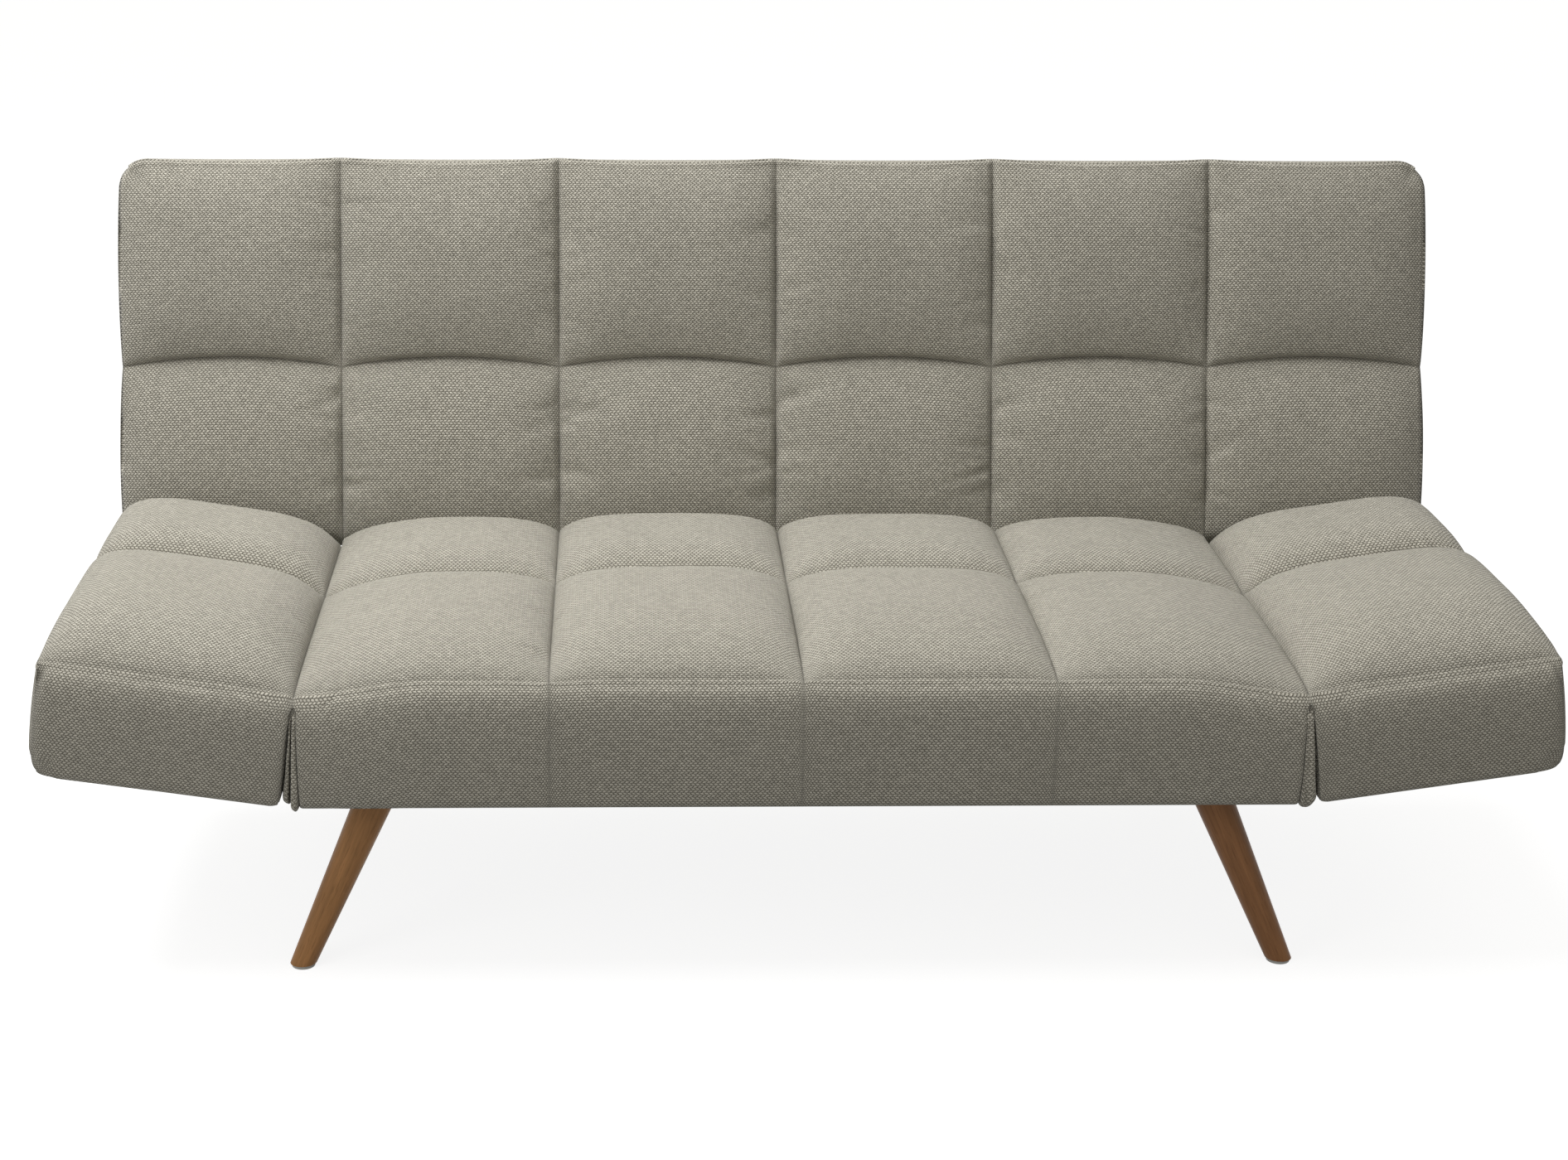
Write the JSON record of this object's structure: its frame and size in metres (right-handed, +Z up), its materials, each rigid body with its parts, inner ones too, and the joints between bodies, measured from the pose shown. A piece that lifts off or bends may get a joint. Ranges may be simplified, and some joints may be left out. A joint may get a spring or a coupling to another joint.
{
  "type": "click clack sofa bed",
  "caption": "Tufted sofa whose back folds down flat on ratchet hinges and whose two end cushions lift as arms, on splayed round wooden legs.",
  "frame": {"origin": "on the floor, under the middle of the sofa's outer box with its back up", "axes": "+X to the right of someone who looks at its front, +Y to the rear, +Z up"},
  "size_m": [1.8228, 0.8391, 0.8947],
  "materials": {
    "fabric": "coarse basket weave, matt",
    "lining": "thin non-woven cloth, matt",
    "frame_steel": "black powder coat",
    "bright_steel": "zinc plated",
    "slat_wood": "bare laminated beech",
    "holder_plastic": "moulded",
    "leg_wood": "stained and satin lacquered",
    "glide_plastic": "moulded"
  },
  "bodies": {
    "seat": {"arm_hinge_pins": "bright_steel", "arm_hinge_seat_bolts": "bright_steel", "arm_hinge_studs": "bright_steel", "arm_pawl_springs": "bright_steel", "back_hinge_pins": "bright_steel", "back_hinge_seat_bolts": "bright_steel", "back_hinge_studs": "bright_steel", "back_pawl_springs": "bright_steel", "front_left_glide": "glide_plastic", "front_left_leg": "leg_wood", "front_right_glide": "glide_plastic", "front_right_leg": "leg_wood", "left_arm_hinge_fixed_arms": "frame_steel", "left_back_hinge_fixed_arm": "frame_steel", "left_gusset": "fabric", "leg_bolts": "bright_steel", "leg_plate_screws": "bright_steel", "leg_plates": "frame_steel", "rear_left_glide": "glide_plastic", "rear_left_leg": "leg_wood", "rear_right_glide": "glide_plastic", "rear_right_leg": "leg_wood", "right_arm_hinge_fixed_arms": "frame_steel", "right_back_hinge_fixed_arm": "frame_steel", "right_gusset": "fabric", "seat_cushion": "fabric", "seat_dust_cover": "lining", "seat_frame": "frame_steel", "seat_slat_holders": "holder_plastic", "seat_slats": "slat_wood"},
    "backrest": {"back_cushion": "fabric", "back_frame": "frame_steel", "back_hinge_back_bolts": "bright_steel", "back_lining": "lining", "back_slat_holders": "holder_plastic", "back_slats": "slat_wood", "left_back_hinge_moving_arm": "frame_steel", "right_back_hinge_moving_arm": "frame_steel"},
    "left_arm": {"left_arm_cushion": "fabric", "left_arm_dust_cover": "lining", "left_arm_frame": "frame_steel", "left_arm_hinge_bolts": "bright_steel", "left_arm_hinge_moving_arms": "frame_steel", "left_arm_slat_holders": "holder_plastic", "left_arm_slats": "slat_wood"},
    "right_arm": {"right_arm_cushion": "fabric", "right_arm_dust_cover": "lining", "right_arm_frame": "frame_steel", "right_arm_hinge_bolts": "bright_steel", "right_arm_hinge_moving_arms": "frame_steel", "right_arm_slat_holders": "holder_plastic", "right_arm_slats": "slat_wood"},
    "left_arm_front_pawl": {"left_arm_front_pawl": "bright_steel"},
    "left_arm_rear_pawl": {"left_arm_rear_pawl": "bright_steel"},
    "left_back_pawl": {"left_back_pawl": "bright_steel"},
    "right_arm_front_pawl": {"right_arm_front_pawl": "bright_steel"},
    "right_arm_rear_pawl": {"right_arm_rear_pawl": "bright_steel"},
    "right_back_pawl": {"right_back_pawl": "bright_steel"}
  },
  "joints": [
    {"name": "back_recline", "type": "hinge", "parent": "seat", "child": "backrest", "pos_m": [0, 0.16296, 0.378], "axis": [-1, 0, 0], "range_deg": [-10, 73]},
    {"name": "left_arm_lift", "type": "hinge", "parent": "seat", "child": "left_arm", "pos_m": [-0.6, 0, 0.38], "axis": [0, 1, 0], "range_deg": [-8.5, 68], "deforming": ["left_gusset"]},
    {"name": "right_arm_lift", "type": "hinge", "parent": "seat", "child": "right_arm", "pos_m": [0.6, 0, 0.38], "axis": [0, -1, 0], "range_deg": [-8.5, 68], "deforming": ["right_gusset"]},
    {"name": "left_back_pawl_drop", "type": "hinge", "parent": "seat", "child": "left_back_pawl", "pos_m": [-0.526, 0.13342, 0.32655], "axis": [1, 0, 0], "range_deg": [0, 10]},
    {"name": "left_arm_front_pawl_drop", "type": "hinge", "parent": "seat", "child": "left_arm_front_pawl", "pos_m": [-0.57933, -0.36024, 0.34152], "axis": [0, 1, 0], "range_deg": [0, 9]},
    {"name": "left_arm_rear_pawl_drop", "type": "hinge", "parent": "seat", "child": "left_arm_rear_pawl", "pos_m": [-0.57933, 0.10316, 0.34152], "axis": [0, 1, 0], "range_deg": [0, 9]},
    {"name": "right_back_pawl_drop", "type": "hinge", "parent": "seat", "child": "right_back_pawl", "pos_m": [0.526, 0.13342, 0.32655], "axis": [1, 0, 0], "range_deg": [0, 10]},
    {"name": "right_arm_front_pawl_drop", "type": "hinge", "parent": "seat", "child": "right_arm_front_pawl", "pos_m": [0.57933, -0.36024, 0.34152], "axis": [0, -1, 0], "range_deg": [0, 9]},
    {"name": "right_arm_rear_pawl_drop", "type": "hinge", "parent": "seat", "child": "right_arm_rear_pawl", "pos_m": [0.57933, 0.10316, 0.34152], "axis": [0, -1, 0], "range_deg": [0, 9]}
  ]
}
